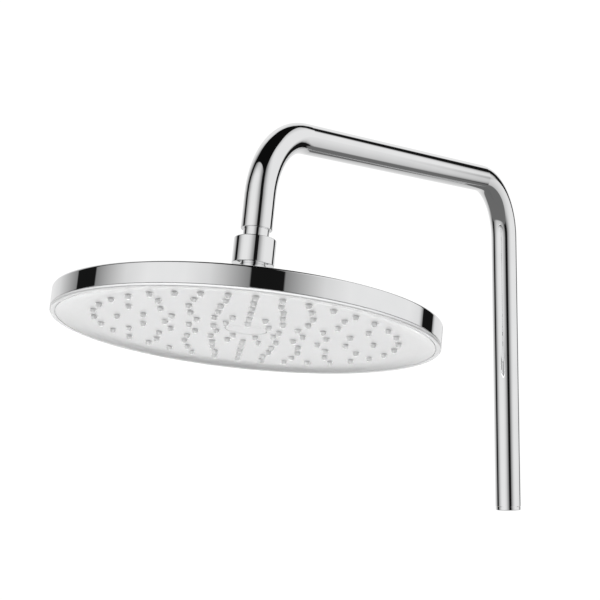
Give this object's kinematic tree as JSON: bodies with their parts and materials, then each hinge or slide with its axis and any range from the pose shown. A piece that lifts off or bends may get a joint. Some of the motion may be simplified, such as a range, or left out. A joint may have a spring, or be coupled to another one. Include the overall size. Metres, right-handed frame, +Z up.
{
  "type": "wall shower system",
  "caption": "Chrome overhead rain shower: a riser pipe bends into an arm and down to a nut and ball joint that carry a flat round head with a white nozzle face.",
  "frame": {"origin": "centre of the riser's lower end, at the mouth of the inlet thread", "axes": "+Z up along the riser, the arm reaches out along -Y, the wall is on the +Y side, X across"},
  "size_m": [0.265, 0.5495, 0.296],
  "materials": {
    "chrome": "polished chrome plate",
    "white_plastic": "smooth white moulding",
    "nozzle_silicone": "translucent grey silicone",
    "seal_rubber": "black seal rubber",
    "inner_plastic": "natural moulded plastic",
    "brass": "turned brass",
    "steel": "stainless screw"
  },
  "bodies": {
    "inlet": {"inlet_coupling": "chrome", "coupling_o_rings": "seal_rubber", "glide_rings": "inner_plastic"},
    "arm": {"gooseneck_pipe": "chrome", "riser_sleeve": "brass", "grub_screw": "steel", "outlet_nipple": "chrome", "swivel_nut": "chrome", "filter_washer": "seal_rubber", "filter_screen": "steel", "flow_regulator": "inner_plastic", "regulator_o_ring": "seal_rubber", "swivel_ball": "chrome"},
    "ball_liner": {"upper_liner": "inner_plastic"},
    "ball_seat": {"lower_seat": "inner_plastic"},
    "head": {"ball_seal": "seal_rubber", "ball_retainer": "chrome", "back_shell": "chrome", "hub_o_ring": "seal_rubber", "chamber_cover": "inner_plastic", "nozzle_mat": "nozzle_silicone", "spray_plate": "white_plastic", "plate_screws": "steel", "centre_screw": "steel", "centre_cap": "white_plastic"}
  },
  "joints": [
    {"name": "arm_swivel", "type": "hinge", "parent": "inlet", "child": "arm", "pos_m": [0, 0, 0], "axis": [0, 0, 1], "range_deg": [-60, 60]},
    {"name": "head_turn", "type": "hinge", "parent": "arm", "child": "ball_liner", "pos_m": [0, -0.40231, 0.17535], "axis": [0, 0.1994, 0.9799], "continuous": true},
    {"name": "head_tilt", "type": "hinge", "parent": "ball_liner", "child": "ball_seat", "pos_m": [0, -0.40231, 0.17535], "axis": [1, 0, 0], "range_deg": [-10, 10]},
    {"name": "head_roll", "type": "hinge", "parent": "ball_seat", "child": "head", "pos_m": [0, -0.40231, 0.17535], "axis": [0, 0.9799, -0.1994], "range_deg": [-10, 10]}
  ]
}
